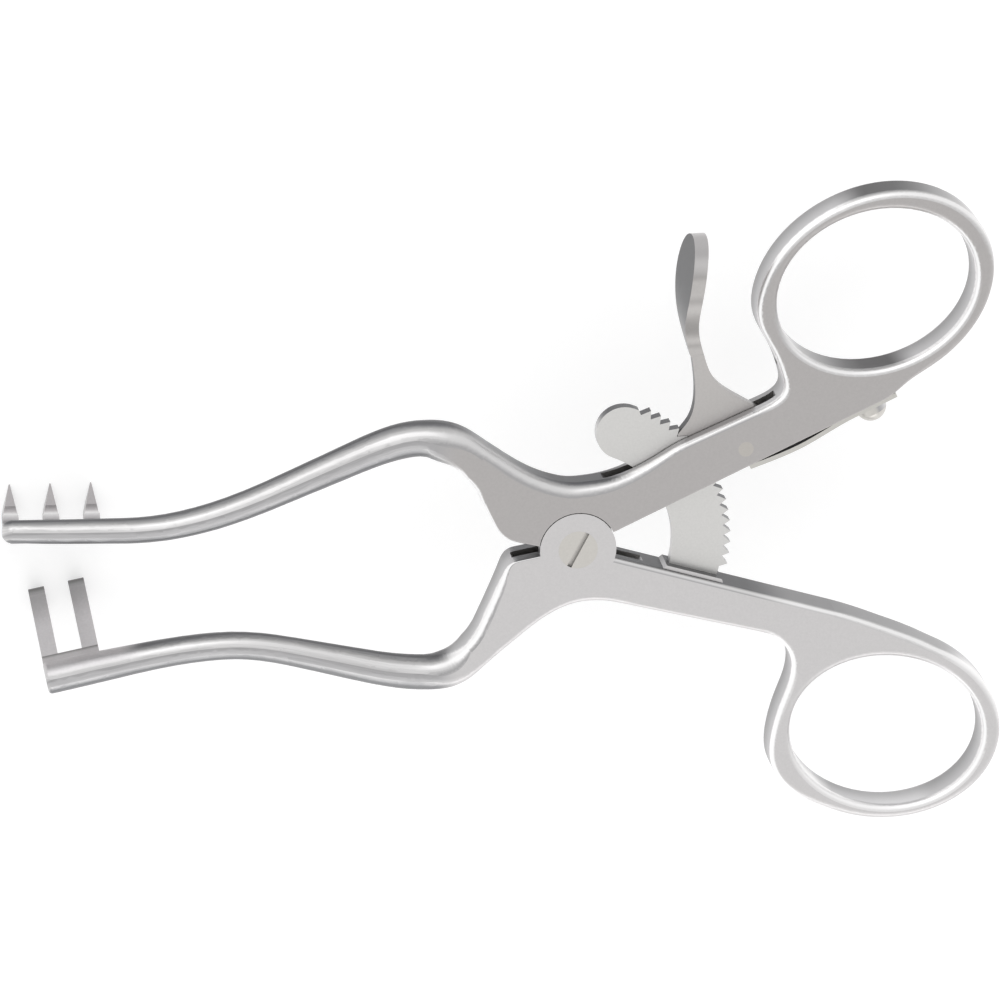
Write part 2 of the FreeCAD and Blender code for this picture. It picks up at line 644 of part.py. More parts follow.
def make_pivot_screw():
    screw = disc(PIVOT_RADIUS, 0, ARM_THICKNESS)
    screw = screw.fuse(
        disc(PIVOT_HEAD_RADIUS, ARM_THICKNESS - PIVOT_HEAD_DEPTH, ARM_THICKNESS)
    )
    slot = Part.makeBox(3 * PIVOT_HEAD_RADIUS, PIVOT_SLOT_WIDTH, 2 * PIVOT_SLOT_DEPTH)
    slot.translate(FreeCAD.Vector(-1.5 * PIVOT_HEAD_RADIUS, -PIVOT_SLOT_WIDTH / 2,
                                  ARM_THICKNESS - PIVOT_SLOT_DEPTH))
    slot.rotate(FreeCAD.Vector(0, 0, 0), FreeCAD.Vector(0, 0, 1), PIVOT_SLOT_DEG)
    return screw.cut(slot)


def tooth_deg(number):
    return FIRST_TOOTH_DEG + number * TOOTH_PITCH_DEG


def foot_along(radius):
    """Where a circle about the pivot meets the top of the rack's seat, along the lower arm."""
    return math.sqrt(radius ** 2 - (LOWER_INNER_OFFSET + SEAT_HEIGHT) ** 2)


def rack_outline():
    tip = RACK_ROOT_RADIUS + TOOTH_HEIGHT
    teeth = []
    for number in range(TOOTH_COUNT):
        teeth.append(polar(RACK_ROOT_RADIUS, tooth_deg(number) - TOOTH_UNDERCUT_DEG))
        teeth.append(polar(tip, tooth_deg(number)))
    last_root = tooth_deg(TOOTH_COUNT) - TOOTH_UNDERCUT_DEG
    teeth.append(polar(RACK_ROOT_RADIUS, last_root))
    seat = LOWER_INNER_OFFSET + SEAT_HEIGHT
    foot_inner = beside(LOWER_INNER_DEG, seat, foot_along(RACK_INNER_RADIUS))
    foot_outer = beside(LOWER_INNER_DEG, seat, foot_along(RACK_ROOT_RADIUS))
    inner_deg = math.degrees(math.atan2(foot_inner[1], foot_inner[0]))
    outer_deg = math.degrees(math.atan2(foot_outer[1], foot_outer[0]))
    middle = (RACK_INNER_RADIUS + RACK_BACK_RADIUS) / 2
    cap = (RACK_BACK_RADIUS - RACK_INNER_RADIUS) / 2
    back_start = last_root + TOOTH_UNDERCUT_DEG
    teeth.append(polar(RACK_BACK_RADIUS, back_start))
    cap_centre = polar(middle, RACK_CAP_DEG)
    edges = [segment(foot_inner, foot_outer)]
    edges.append(arc(RACK_ROOT_RADIUS, outer_deg, tooth_deg(0) - TOOTH_UNDERCUT_DEG))
    edges += [segment(a, b) for a, b in zip(teeth, teeth[1:])]
    edges.append(arc(RACK_BACK_RADIUS, back_start, RACK_CAP_DEG))
    edges.append(arc(cap, RACK_CAP_DEG, RACK_CAP_DEG + 180, cap_centre))
    edges.append(arc(RACK_INNER_RADIUS, inner_deg, RACK_CAP_DEG))
    return edges


def rack_tang():
    seat = LOWER_INNER_OFFSET + SEAT_HEIGHT
    start = foot_along(RACK_INNER_RADIUS) + TANG_INSET
    end = foot_along(RACK_ROOT_RADIUS) - TANG_INSET
    corners = [(start, seat), (start, seat - TANG_DEPTH), (end, seat - TANG_DEPTH), (end, seat)]
    points = [beside(LOWER_INNER_DEG, offset, along) for along, offset in corners]
    return polygon(points, MID - RACK_THICKNESS / 2, MID + RACK_THICKNESS / 2)


def rack_seat():
    """The low shoulder on the lower arm that the rack's foot stands on."""
    seat = LOWER_INNER_OFFSET + SEAT_HEIGHT
    start = foot_along(RACK_INNER_RADIUS) - SEAT_MARGIN
    end = foot_along(RACK_ROOT_RADIUS) + SEAT_MARGIN
    corners = [(start - 1, -1.0), (end + 1, -1.0), (end, seat), (start, seat)]
    points = [beside(LOWER_INNER_DEG, offset, along) for along, offset in corners]
    half = MID - EDGE_ROUND
    return polygon(points, MID - half, MID + half)


def make_ratchet_rack():
    low = MID - RACK_THICKNESS / 2
    high = MID + RACK_THICKNESS / 2
    return prism(rack_outline(), low, high).fuse(rack_tang())


def lever_blank():
    """The lever's flat part: pawl, body round the pin, tail and the foot of the thumb pad."""
    foot_x, foot_y = PAD_SPINE[0]
    foot_left = (foot_x - LEVER_NECK_WIDTH / 2, foot_y + PAD_LAP)
    foot_right = (foot_x + LEVER_NECK_WIDTH / 2, foot_y + PAD_LAP)
    pawl_tip = polar(RACK_ROOT_RADIUS + MESH_CLEARANCE, PAWL_TIP_DEG)
    pawl_end = polar(RACK_ROOT_RADIUS + MESH_CLEARANCE, PAWL_END_DEG)
    tail_left = beside(UPPER_INNER_DEG, 0.0, SPRING_START + TAIL_INSET)
    tail_right = beside(UPPER_INNER_DEG, 0.0, SPRING_START + TAIL_INSET + TAIL_WIDTH)
    edges = [
        curve([foot_left] + LEVER_LEFT, -82, -130),
        segment(LEVER_LEFT[-1], pawl_tip),
        segment(pawl_tip, pawl_end),
        segment(pawl_end, LEVER_FRONT[0]),
        curve(LEVER_FRONT + [tail_left], -15, -65),
        segment(tail_left, tail_right),
        curve([tail_right] + LEVER_BACK, 62, 148),
        curve([LEVER_BACK[-1]] + LEVER_RIGHT + [foot_right], 149, 105),
        segment(foot_right, foot_left),
    ]
    return prism(edges, MID - LEVER_THICKNESS / 2, MID + LEVER_THICKNESS / 2)


def rack_path():
    """The space that the rack's teeth need beside the pawl while the lever swings out of them."""
    widened = prism(rack_outline(), 0, ARM_THICKNESS)
    widened.translate(at(polar(MESH_CLEARANCE, tooth_deg(PAWL_TOOTH))))
    steps = 6
    path = None
    for step in range(steps + 1):
        turned = widened.copy()
        turned.rotate(at(LEVER_PIN), FreeCAD.Vector(0, 0, 1), RELEASE_DEG * step / steps)
        path = turned if path is None else path.fuse(turned)
    return path


def thumb_pad():
    """A leaf shaped pad across the lever, its foot as narrow as the lever is thick."""
    half = PAD_THICKNESS / 2
    left = [(x - half, y) for x, y in PAD_SPINE]
    right = [(x + half, y) for x, y in PAD_SPINE]
    sides = [curve(left), curve(right), segment(left[0], right[0]), segment(left[-1], right[-1])]
    band = prism(sides, MID - 2 * PAD_HALF_WIDTH, MID + 2 * PAD_HALF_WIDTH)
    foot = PAD_SPINE[0][1]
    widths = [(foot, LEVER_THICKNESS / 2)]
    widths += [(foot + run, share * PAD_HALF_WIDTH) for run, share in PAD_SHARES]
    near = [FreeCAD.Vector(0, y, MID + width) for y, width in widths]
    far = [FreeCAD.Vector(0, y, MID - width) for y, width in reversed(widths)]
    tip = FreeCAD.Vector(0, foot + PAD_LENGTH, MID)
    rim = Part.BSplineCurve()
    rim.interpolate(Points=near + [tip] + far)
    closing = Part.makeLine(far[-1], near[0])
    leaf = Part.Face(Part.Wire([rim.toShape(), closing])).extrude(FreeCAD.Vector(30, 0, 0))
    return band.common(leaf)


def make_release_lever():
    lever = lever_blank().fuse(thumb_pad())
    lever = lever.cut(rack_path())
    return lever.cut(disc(LEVER_PIN_RADIUS + LEVER_PIN_CLEARANCE, 0, ARM_THICKNESS, LEVER_PIN))


def make_lever_pin():
    return disc(LEVER_PIN_RADIUS, 0, ARM_THICKNESS, LEVER_PIN)


def make_leaf_spring():
    """A strip clamped flat under the arm, bowed away from it, its free end at the lever's tail."""
    clamp = SPRING_SCREW_AT - SPRING_CLAMP
    middle = (SPRING_START + clamp) / 2
    top = [(SPRING_START, -TAIL_GAP), (middle, -SPRING_BOW), (clamp, 0.0)]
    bottom = [(along, offset - SPRING_THICKNESS) for along, offset in top]
    place = [[beside(UPPER_INNER_DEG, offset, along) for along, offset in row]
             for row in (top, bottom)]
    end_top = beside(UPPER_INNER_DEG, 0.0, SPRING_END)
    end_bottom = beside(UPPER_INNER_DEG, -SPRING_THICKNESS, SPRING_END)
    edges = [
        curve(place[0], UPPER_INNER_DEG - 6, UPPER_INNER_DEG),
        curve(place[1], UPPER_INNER_DEG - 6, UPPER_INNER_DEG),
        segment(place[0][0], place[1][0]),
        segment(place[0][-1], end_top),
        segment(end_top, end_bottom),
        segment(end_bottom, place[1][-1]),
    ]
    strip = prism(edges, MID - SPRING_WIDTH / 2, MID + SPRING_WIDTH / 2)
    return strip.cut(spring_screw_shank())


def spring_screw_axis():
    return at(polar(1.0, UPPER_INNER_DEG + 90))


def spring_screw_place(offset):
    return at(beside(UPPER_INNER_DEG, offset, SPRING_SCREW_AT), MID)


def spring_screw_shank():
    start = spring_screw_place(-SPRING_THICKNESS)
    length = SPRING_THICKNESS + SPRING_SCREW_LENGTH
    return Part.makeCylinder(SPRING_SCREW_RADIUS, length, start, spring_screw_axis())


def make_spring_screw():
    dome = SPRING_HEAD_HEIGHT - SPRING_HEAD_RIM
    axis = spring_screw_axis()
    under_head = -SPRING_THICKNESS
    crown = under_head - SPRING_HEAD_HEIGHT
    collar = Part.makeCylinder(
        SPRING_HEAD_RADIUS, SPRING_HEAD_RIM, spring_screw_place(under_head - SPRING_HEAD_RIM), axis
    )
    ball_radius = (SPRING_HEAD_RADIUS ** 2 + dome ** 2) / (2 * dome)
    ball = Part.makeSphere(ball_radius, spring_screw_place(crown + ball_radius))
    cap = Part.makeCylinder(SPRING_HEAD_RADIUS, dome, spring_screw_place(crown), axis)
    head = collar.fuse(cap.common(ball))
    slot = Part.makeBox(4 * SPRING_HEAD_RADIUS, SPRING_SCREW_SLOT, SPRING_SCREW_SLOT)
    slot.translate(FreeCAD.Vector(-2 * SPRING_HEAD_RADIUS, -SPRING_SCREW_SLOT / 2, -0.01))
    slot.rotate(FreeCAD.Vector(0, 0, 0), FreeCAD.Vector(0, 0, 1), 35)
    slot.Placement = FreeCAD.Placement(
        spring_screw_place(crown),
        FreeCAD.Rotation(FreeCAD.Vector(0, 0, 1), axis),
    ).multiply(slot.Placement)
    return spring_screw_shank().fuse(head).cut(slot)


parts = {
    "lower_arm": make_lower_arm(),
    "upper_arm": make_upper_arm(),
    "pivot_screw": make_pivot_screw(),
    "ratchet_rack": make_ratchet_rack(),
    "release_lever": make_release_lever(),
    "lever_pin": make_lever_pin(),
    "leaf_spring": make_leaf_spring(),
    "spring_screw": make_spring_screw(),
}

os.makedirs("parts", exist_ok=True)
for name, shape in parts.items():
    cleaned = shape.removeSplitter().Solids[0]
    print(name, len(shape.Solids), cleaned.isValid(), round(cleaned.Volume, 2))
    cleaned.exportStep("parts/" + name + ".step")
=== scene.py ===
# %% [markdown]
# # A self retaining retractor, dressed for the photograph
# The instrument is a small spreader of satin stainless steel. Its two arms turn in a box joint, a
# toothed rack holds them apart, and a sprung thumb lever lets go of the rack. All its pieces are
# rigid steel, so the solids of the frame are the shapes, and this lesson gives them their finishes.
# A finish on such an instrument comes from how each area was worked: blasted faces, polished rims,
# belt ground rods. One material for each finish would need a cut at every rim, so each material
# here finds its areas by itself, from where a spot lies and which way the surface faces there.
# Which way the surface faces also sets painted highlight and painted shade on rims, rods, rings and
# prongs.

import math

import bpy
from mathutils import Matrix, Vector


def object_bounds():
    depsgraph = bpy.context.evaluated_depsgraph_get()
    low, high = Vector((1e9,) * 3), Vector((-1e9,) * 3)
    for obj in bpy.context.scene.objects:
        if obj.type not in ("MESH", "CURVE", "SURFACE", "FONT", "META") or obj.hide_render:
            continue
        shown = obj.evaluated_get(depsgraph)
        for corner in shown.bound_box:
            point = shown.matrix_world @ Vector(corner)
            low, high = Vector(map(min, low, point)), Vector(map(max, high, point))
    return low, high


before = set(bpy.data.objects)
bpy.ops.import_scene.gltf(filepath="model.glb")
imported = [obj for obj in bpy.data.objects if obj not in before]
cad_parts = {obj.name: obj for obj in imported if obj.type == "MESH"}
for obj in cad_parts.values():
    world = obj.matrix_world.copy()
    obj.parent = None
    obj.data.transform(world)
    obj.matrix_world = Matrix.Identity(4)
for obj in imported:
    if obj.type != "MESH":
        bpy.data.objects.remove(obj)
cad_low, cad_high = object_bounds()
MM = 0.001
print("frame", [round((b - a) / MM, 2) for a, b in zip(cad_low, cad_high)], "mm")

# %% [markdown]
# ## Smooth rims
# The rims, rods and rings are curved faces made of small flat ones. Shading them smooth hides the
# steps. An edge stays sharp only where its two sides meet at more than a set angle, as at the
# teeth and the slots. A broad flat face next to a small rim would still look bent at its border, so
# a modifier gives the broad faces more weight in the shading. Neither step moves a point.

# %% Shade the steel smooth
SHARP_EDGE_DEG = 28.0

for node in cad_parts.values():
    mesh = node.data
    mesh.shade_smooth()
    mesh.set_sharp_from_angle(angle=math.radians(SHARP_EDGE_DEG))
    weigher = node.modifiers.new("broad_faces_first", "WEIGHTED_NORMAL")
    weigher.keep_sharp = True
    print(node.name, len(mesh.polygons), "faces")

# %% [markdown]
# ## Small helpers for materials
# A colour is picked on a screen, so it is written as an sRGB hex value. Blender's shaders count in
# linear light, and one function turns the one into the other. A node graph in code is easier to
# read when a single line adds a node with its settings and its links, so a second function does
# that.


# %% Colour and node helpers
def linear(hex_colour):
    """A linear RGBA colour from an sRGB hex value such as #C8C5BF."""
    channels = [int(hex_colour[i : i + 2], 16) / 255 for i in (1, 3, 5)]
    linear_channels = [c / 12.92 if c <= 0.04045 else ((c + 0.055) / 1.055) ** 2.4 for c in channels]
    return (*linear_channels, 1.0)


def add_node(tree, kind, inputs=None, **settings):
    """Adds a node. Inputs are values or the outputs of other nodes, by socket name or number."""
    node = tree.nodes.new(kind)
    for name, value in settings.items():
        setattr(node, name, value)
    for socket, value in (inputs or {}).items():
        if isinstance(value, bpy.types.NodeSocket):
            tree.links.new(value, node.inputs[socket])
        else:
            node.inputs[socket].default_value = value
    return node


def new_material(name):
    """A material with an empty graph, its Principled shader already joined to the output."""
    material = bpy.data.materials.new(name)
    material.use_nodes = True
    tree = material.node_tree
    tree.nodes.clear()
    shader = add_node(tree, "ShaderNodeBsdfPrincipled")
    add_node(tree, "ShaderNodeOutputMaterial", {"Surface": shader.outputs["BSDF"]})
    return material, tree, shader


print("a mid grey in linear light:", [round(c, 3) for c in linear("#808080")])

# %% [markdown]
# ## Areas of a piece
# The flat faces point straight up or down, the side walls point sideways, and the rounded rims lie
# between, so the direction of the surface tells them apart. It is read in the piece's own axes, and
# so the finish stays with the piece when the piece turns. An area has bounds in direction and in
# place. Each bound gives a soft step from 0 to 1, and the steps multiplied are a mask of the area.
# A painted mask would do too, but it would have to be painted again whenever the shape changes.
# A Mix node then lays a finish over another by the mask. When it mixes colours, its inputs 6 and 7
# are the two colours, and its output 2 is the result.


# %% Directions, bounds and finishes laid there
def facing(tree, way):
    """How far the surface faces that way, from -1 to 1."""
    spot = add_node(tree, "ShaderNodeTexCoord")
    return add_node(
        tree,
        "ShaderNodeVectorMath",
        {0: spot.outputs["Normal"], 1: way.normalized()},
        operation="DOT_PRODUCT",
    ).outputs["Value"]


def area(tree, *bounds):
    """A mask, 1 inside all bounds. A bound is a value, where it starts and where it is full."""
    mask = 1.0
    for value, start, full in bounds:
        edge = add_node(
            tree,
            "ShaderNodeMapRange",
            {"Value": value, "From Min": start, "From Max": full},
            interpolation_type="SMOOTHSTEP",
        )
        both = add_node(tree, "ShaderNodeMath", {0: mask, 1: edge.outputs[0]}, operation="MULTIPLY")
        mask = both.outputs[0]
    return mask


def laid_over(tree, colour, *finishes):
    """The colour with finishes laid over it in turn. A finish is a mask and a colour."""
    for mask, over in finishes:
        layer = add_node(tree, "ShaderNodeMix", {0: mask, 6: colour, 7: over}, data_type="RGBA")
        colour = layer.outputs[2]
    return colour


def lightened(tree, colour, value, low, high):
    """The colour times a number that goes from low to high, as the value goes from 0 to 1."""
    number = add_node(tree, "ShaderNodeMapRange", {"Value": value, "To Min": low, "To Max": high})
    return add_node(
        tree, "ShaderNodeVectorMath", {0: colour, 1: number.outputs[0]}, operation="MULTIPLY"
    ).outputs["Vector"]


TO_FACE = Vector((0.0, 0.0, 1.0))
print("the broad faces look along", tuple(TO_FACE))

# %% [markdown]
# ## Blasted faces
# The pieces are martensitic stainless steel. Their broad faces are blasted with fine beads, which
# leaves a dull grey that scatters the light. The beads are about 0.1 mm, too fine to show, so their
# dents are drawn at 0.25 mm. Noise of that size gives both a slight change of tone and a slight
# bump, which is cheaper than dents in the mesh. Steel is a metal all through, so Metallic is 1 and
# the base colour is the tone of its reflection. Blasted steel has a typical roughness of 0.4 to 0.5
# and buffed steel 0.2 to 0.4.

# %% Flat faces, bead dents and roughness
BLAST_GRAIN_MM = 0.25
BEAD_LIGHT = (0.93, 1.07)
BEAD_STRENGTH = 0.12
BEAD_DEPTH_MM = 0.02
FLAT_START = 0.955
FLAT_FULL = 0.995
BUFFED_ROUGH = 0.36
BLASTED_ROUGH = 0.42


def grain(tree, size_mm):
    """Noise whose grains are about size_mm across in the piece's own space, from 0 to 1."""
    spot = add_node(tree, "ShaderNodeTexCoord")
    scale = [1 / (size_mm * MM)] * 3
    spread = add_node(tree, "ShaderNodeMapping", {"Vector": spot.outputs["Object"], "Scale": scale})
    return add_node(
        tree,
        "ShaderNodeTexNoise",
        {"Vector": spread.outputs["Vector"], "Scale": 1.0, "Detail": 3.0, "Roughness": 0.6},
    ).outputs["Fac"]


def upright(tree):
    """How far the surface faces straight up or down, from 0 to 1."""
    up = facing(tree, TO_FACE)
    return add_node(tree, "ShaderNodeMath", {0: up}, operation="ABSOLUTE").outputs[0]


def worked_rough(tree, flat):
    """The roughness, from the buffed rims to the blasted flat faces."""
    return add_node(
        tree, "ShaderNodeMapRange", {"Value": flat, "To Min": BUFFED_ROUGH, "To Max": BLASTED_ROUGH}
    ).outputs["Result"]


def dress(tree, shader, colour, rough, beads):
    """Joins colour, roughness and bead dents to the shader of a steel."""
    dents = add_node(
        tree,
        "ShaderNodeBump",
        {"Height": beads, "Strength": BEAD_STRENGTH, "Distance": BEAD_DEPTH_MM * MM},
    )
    tree.links.new(colour, shader.inputs["Base Color"])
    tree.links.new(rough, shader.inputs["Roughness"])
    tree.links.new(dents.outputs["Normal"], shader.inputs["Normal"])
    shader.inputs["Metallic"].default_value = 1.0


print("fully flat within", round(math.degrees(math.acos(FLAT_FULL)), 1), "degrees")

# %% [markdown]
# ## Buffed rims, with painted highlight and shade
# Rims, rings and rods are buffed on a wheel, which leaves them smoother. Their colour is painted
# light
# and shade round the section: the steep side painted dark, the shoulder above it a painted bright
# highlight, and satin grey again over the top. One direction across the instrument and one row of
# tones along it paint this for every rim and rod, where lamps placed for each rim would be wrong in
# any other view. Sides that face away from that direction keep the blasted grey.

# %% Painted highlight and shade on rims and rods
ACROSS = Vector((-0.12, 0.93, -0.35))
PAINTED_RIM_START = -0.34
PAINTED_RIM_FULL = -0.2
# Painted highlight and painted shade: colours over the direction across, dark on the steep side and
# bright on the shoulder.
PAINTED_RIM_TONES = [
    (-1.0, "#78787A"),
    (-0.84, "#868688"),
    (-0.7, "#A2A2A3"),
    (-0.58, "#CDCCCC"),
    (-0.4, "#C0BFC0"),
    (-0.22, "#AAA9AA"),
    (0.05, "#CFCECE"),
    (0.3, "#D3D2D2"),
    (0.52, "#B5B4B4"),
    (0.72, "#737375"),
    (0.85, "#58585A"),
    (1.0, "#69696B"),
]


def tones_over(tree, value, tones):
    """Colours at places from -1 to 1, blended between."""
    share = add_node(tree, "ShaderNodeMapRange", {"Value": value, "From Min": -1.0, "From Max": 1.0})
    node = add_node(tree, "ShaderNodeValToRGB", {"Fac": share.outputs["Result"]})
    marks = node.color_ramp.elements
    while len(marks) < len(tones):
        marks.new(0.5)
    for mark, (place, tone) in zip(marks, tones):
        mark.position = (place + 1) / 2
        mark.color = linear(tone)
    return node.outputs["Color"]


def satin_steel(name, face, across_way=ACROSS, tones=PAINTED_RIM_TONES, off_flat_painted_shade=1.0):
    """Blasted faces and buffed rims, with painted highlight and painted shade on the rims. The last
    argument dims blasted parts that aren't flat, a painted shade.
    """
    material, tree, shader = new_material(name)
    across = facing(tree, across_way)
    flat = area(tree, (upright(tree), FLAT_START, FLAT_FULL))
    beads = grain(tree, BLAST_GRAIN_MM)
    blasted = lightened(tree, linear(face)[:3], beads, *BEAD_LIGHT)
    # Parts that aren't flat are dimmed here by the last argument, a painted shade.
    blasted = lightened(tree, blasted, flat, off_flat_painted_shade, 1.0)
    # Where the rims' painted highlight and painted shade lie.
    painted_rim_mask = area(tree, (across, PAINTED_RIM_START, PAINTED_RIM_FULL))
    colour = laid_over(tree, blasted, (painted_rim_mask, tones_over(tree, across, tones)))
    dress(tree, shader, colour, worked_rough(tree, flat), beads)
    return material


print(len(PAINTED_RIM_TONES), "tones round a rim")

# %% [markdown]
# ## Ground rods
# The blades' rods are belt ground along their length before buffing, and the lines stay. All places
# on one line of a rod face the same way, so noise over the direction draws lines that follow each
# bend, as no flat pattern would. Real lines are some 0.05 mm apart, too fine to show, so they are
# drawn several times as coarse. Along the instrument the noise changes slowly, so each line is
# long. The place along the instrument tells the rods from the forging's shanks.

# %% Lines along the rods
ROD_START_MM = -12.5
ROD_FULL_MM = -15.5
LINES_ACROSS = 8.0
LINE_LENGTH_MM = 1000 / 60
LINE_LIGHT = (0.62, 1.38)
NO_LINE = 0.5


def own_place(tree):
    """The place on the piece in the frame in millimetres. Its sockets are X, Y and Z."""
    spot = add_node(tree, "ShaderNodeTexCoord")
    scale = [1 / MM] * 3
    in_mm = add_node(tree, "ShaderNodeMapping", {"Vector": spot.outputs["Object"], "Scale": scale})
    return add_node(tree, "ShaderNodeSeparateXYZ", {0: in_mm.outputs["Vector"]}).outputs


def ground_lines(tree, across):
    """Lines on the rods, from 0 to 1, and NO_LINE elsewhere."""
    x = own_place(tree)["X"]
    round_rod = add_node(tree, "ShaderNodeMath", {0: across, 1: LINES_ACROSS}, operation="MULTIPLY")
    along_rod = add_node(tree, "ShaderNodeMath", {0: x, 1: LINE_LENGTH_MM}, operation="DIVIDE")
    spot = add_node(
        tree, "ShaderNodeCombineXYZ", {"X": round_rod.outputs[0], "Y": along_rod.outputs[0]}
    )
    lines = add_node(
        tree,
        "ShaderNodeTexNoise",
        {"Vector": spot.outputs["Vector"], "Scale": 1.0, "Detail": 5.0, "Roughness": 0.7},
    )
    rods = area(tree, (x, ROD_START_MM, ROD_FULL_MM))
    return add_node(
        tree, "ShaderNodeMapRange", {"Value": rods, "To Min": NO_LINE, "To Max": lines.outputs["Fac"]}
    ).outputs["Result"]


print("lines about", round(LINE_LENGTH_MM, 1), "mm long")

# %% [markdown]
# ## Walls of the finger rings
# The rings' walls are painted light, with a painted dark streak of shade where they are steepest. The
# lower ring's hole has only a weak painted streak, and is painted lighter towards the front. One row
# of tones for each ring is enough, because a ring is the same all the way round.

# %% Ring walls
RINGS_START_MM = 18.0
RINGS_FULL_MM = 24.0
LOW_RING_START_MM = -14.0
LOW_RING_FULL_MM = -16.0
WALL_BACK_MM = 0.6
WALL_FRONT_MM = 3.9
# Painted light: walls are painted lighter towards the front by this factor.
WALL_PAINTED_LIGHT = (0.8, 1.3)
# Painted highlight and painted shade round the upper ring's wall, by direction.
RING_PAINTED_TONES = [
    (-0.2, "#CBCACA"),
    (0.1, "#ECEBEB"),
    (0.42, "#E8E7E7"),
    (0.68, "#B3B2B2"),
    (0.84, "#8F8E8F"),
    (0.93, "#4E4D4E"),
    (1.0, "#5A595A"),
]
# Painted highlight and a weak painted shade round the lower ring's hole, by direction.
LOW_RING_PAINTED_TONES = [
    (-0.2, "#CBCACA"),
    (0.1, "#D8D7D7"),
    (0.58, "#DAD9D9"),
    (0.74, "#A4A3A4"),
    (0.93, "#BDBCBD"),
    (1.0, "#BDBCBD"),
]


def painted_rims_with_lines(tree, across):
    """The painted highlight and shade of rims and rods, and of the ring walls where the rings are."""
    place = own_place(tree)
    rings = area(tree, (place["X"], RINGS_START_MM, RINGS_FULL_MM))
    low_ring = area(tree, (place["Y"], LOW_RING_START_MM, LOW_RING_FULL_MM))
    painted_front_light = area(tree, (place["Z"], WALL_BACK_MM, WALL_FRONT_MM))
    low_wall = lightened(tree, tones_over(tree, across, LOW_RING_PAINTED_TONES), painted_front_light, *WALL_PAINTED_LIGHT)
    walls = laid_over(tree, tones_over(tree, across, RING_PAINTED_TONES), (low_ring, low_wall))
    colour = laid_over(tree, tones_over(tree, across, PAINTED_RIM_TONES), (rings, walls))
    return lightened(tree, colour, ground_lines(tree, across), *LINE_LIGHT)


print("ring walls from", RINGS_START_MM, "mm, fully from", RINGS_FULL_MM, "mm")

# %% [markdown]
# ## Walls that face the blades
# Walls of the forging that face the blades are painted satin grey with a painted bright highlight on
# the rim, and they too are painted lighter towards the front. Their tones run over how upright the
# surface is: from a wall, at 0, over its rim to the flat face, at 1. That keeps wall and rim apart
# where the direction across can't.

# %% Walls on the blades' side
TO_BLADES = Vector((-1.0, 0.0, 0.0))
BLADE_SIDE_START = 0.2
BLADE_SIDE_FULL = 0.45
# Painted highlight and painted shade over how upright the wall is.
BLADE_SIDE_PAINTED_TONES = [
    (0.0, "#A9A8A9"),
    (0.18, "#B4B3B4"),
    (0.4, "#E2E1E1"),
    (0.85, "#E6E5E5"),
    (0.97, "#CFCECE"),
]


def blade_side_walls(tree):
    """Where the forging's walls face the blades, and their painted highlight and shade."""
    place = own_place(tree)
    mask = area(
        tree,
        (facing(tree, TO_BLADES), BLADE_SIDE_START, BLADE_SIDE_FULL),
        (place["X"], ROD_FULL_MM, ROD_START_MM),
    )
    painted_front_light = area(tree, (place["Z"], WALL_BACK_MM, WALL_FRONT_MM))
    tones = tones_over(tree, upright(tree), BLADE_SIDE_PAINTED_TONES)
    return mask, lightened(tree, tones, painted_front_light, *WALL_PAINTED_LIGHT)


print(len(BLADE_SIDE_PAINTED_TONES), "tones on the walls that face the blades")

# %% [markdown]
# ## Brushed prongs
# The prongs are milled flat and only brushed. Their tones are painted light and shade over the
# direction, grey up to the steep side and painted dark there. They hang below the blades' bars, so
# height tells them apart. The upper arm's prongs are narrow points and never show the darkest
# painted shade, so the direction is capped before it reaches that tone.

# %% The upper arm's prongs
PRONG_START_MM = 0.4
PRONG_FULL_MM = -0.4
POINTS_STEEPEST = 0.8
# Painted highlight and painted shade round the prongs, dark on the steep side.
PRONG_PAINTED_TONES = [
    (-0.4, "#A29FA0"),
    (0.2, "#A5A2A3"),
    (0.42, "#D4D3D3"),
    (0.6, "#C0BEBF"),
    (0.78, "#B4B2B3"),
    (0.86, "#9A9999"),
    (0.95, "#6A6968"),
]


def upper_prongs(tree, across):
    """Where the upper arm's prongs are, and their painted highlight and shade."""
    below = area(tree, (own_place(tree)["Z"], PRONG_START_MM, PRONG_FULL_MM))
    capped = add_node(tree, "ShaderNodeMath", {0: across, 1: POINTS_STEEPEST}, operation="MINIMUM")
    return below, tones_over(tree, capped.outputs[0], PRONG_PAINTED_TONES)


print("prongs below", PRONG_START_MM, "mm, fully below", PRONG_FULL_MM, "mm")

# %% [markdown]
# ## The lower arm's prongs and their bar
# The lower arm's prongs are brushed in the same way and are painted darker towards their tips, a
# painted shade. The bar above them is painted as flat and grey as they are, and its painted tones
# shade off into its rod. Its place along the instrument and the side that it turns along the
# direction across find it, so the rod's other side keeps its lines.

# %% The lower arm's prongs and bar
BAR_START_MM = -46.0
BAR_FULL_MM = -49.0
BAR_SIDE_START = 0.05
BAR_SIDE_FULL = 0.3
TIPS_MM = -9.5
ROOTS_MM = -4.0
# Painted shade: the prongs are darker at their tips than at their roots.
TIP_TO_ROOT_PAINTED_SHADE = (0.8, 1.35)
# Painted shading over the direction on the bar, a little darker on its steep side.
BAR_PAINTED_TONES = [
    (0.0, "#CFCECE"),
    (0.3, "#CAC8C9"),
    (0.6, "#C0BEBF"),
    (0.8, "#BAB7B8"),
    (1.0, "#B8B5B6"),
]


